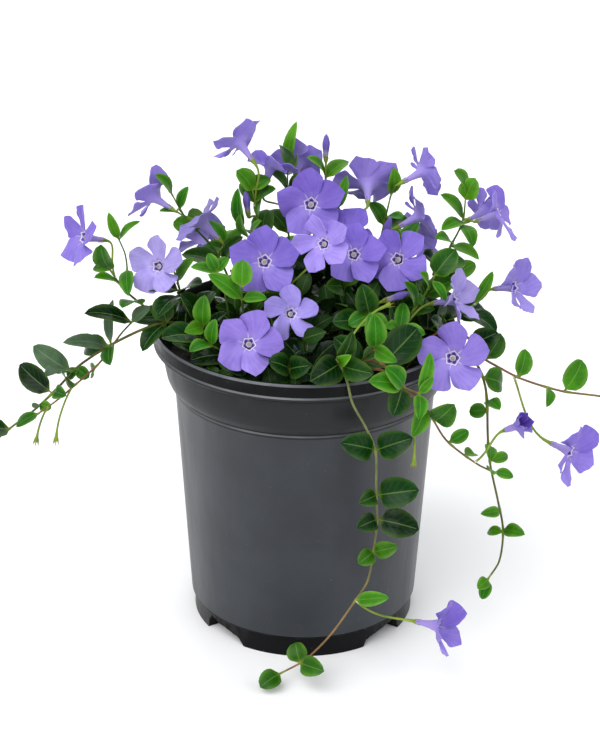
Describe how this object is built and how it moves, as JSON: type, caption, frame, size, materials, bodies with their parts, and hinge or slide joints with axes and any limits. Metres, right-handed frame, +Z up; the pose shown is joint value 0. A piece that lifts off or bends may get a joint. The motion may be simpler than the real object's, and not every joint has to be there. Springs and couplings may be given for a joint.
{
  "type": "potted lesser periwinkle",
  "caption": "Round nursery pot of soil with a flowering ground-cover plant: a leafy crown, trailing runners and five-petalled violet blooms.",
  "frame": {"origin": "middle of the pot's flat underside", "axes": "+Z up, -Y towards the side shown in the picture, +X to its right"},
  "size_m": [0.3273, 0.2128, 0.2747],
  "materials": {
    "pot_plastic": "satin charcoal moulded plastic with a glossier lip",
    "soil": "dark moist potting mix",
    "foliage": "satin dark green leaves with paler young tips",
    "petal": "soft matt violet-blue petals with a white star at the throat"
  },
  "bodies": {
    "root": {"pot": "pot_plastic", "soil": "soil", "runner_left": "foliage", "sprig_left": "foliage", "sprig_left_top": "foliage", "sprig_top_left": "foliage", "sprig_top": "foliage", "sprig_top_bud": "foliage", "sprig_crown": "foliage", "sprig_right_top": "foliage", "sprig_right_high": "foliage", "sprig_right_mid": "foliage", "sprig_right": "foliage", "sprig_right_low": "foliage", "runner_right_arch": "foliage", "runner_right_hanging": "foliage", "runner_right_front": "foliage", "runner_front": "foliage", "sprig_front_right": "foliage", "sprig_centre": "foliage", "sprig_front": "foliage", "sprig_front_left": "foliage", "sprig_left_front": "foliage", "sprig_left_mid": "foliage", "sprig_back_left": "foliage", "sprig_back": "foliage", "sprig_back_right": "foliage", "bloom_11": "petal", "bloom_20": "petal", "bloom_19": "petal", "bloom_13": "petal", "bud_2": "petal", "bloom_14": "petal", "bloom_15": "petal", "bud_1": "petal", "bloom_01": "petal", "bloom_16": "petal", "bloom_17": "petal", "bloom_18": "petal", "bud_3": "petal", "bloom_22": "petal", "bloom_21": "petal", "bloom_08": "petal", "bloom_10": "petal", "bloom_23": "petal", "bloom_24": "petal", "bloom_09": "petal", "bloom_26": "petal", "bloom_25": "petal", "bloom_06": "petal", "bloom_07": "petal", "bud_4": "petal", "bloom_04": "petal", "bloom_02": "petal", "bloom_05": "petal", "bloom_03": "petal", "bloom_12": "petal", "bloom_27": "petal", "bloom_28": "petal", "bloom_29": "petal"}
  },
  "joints": []
}
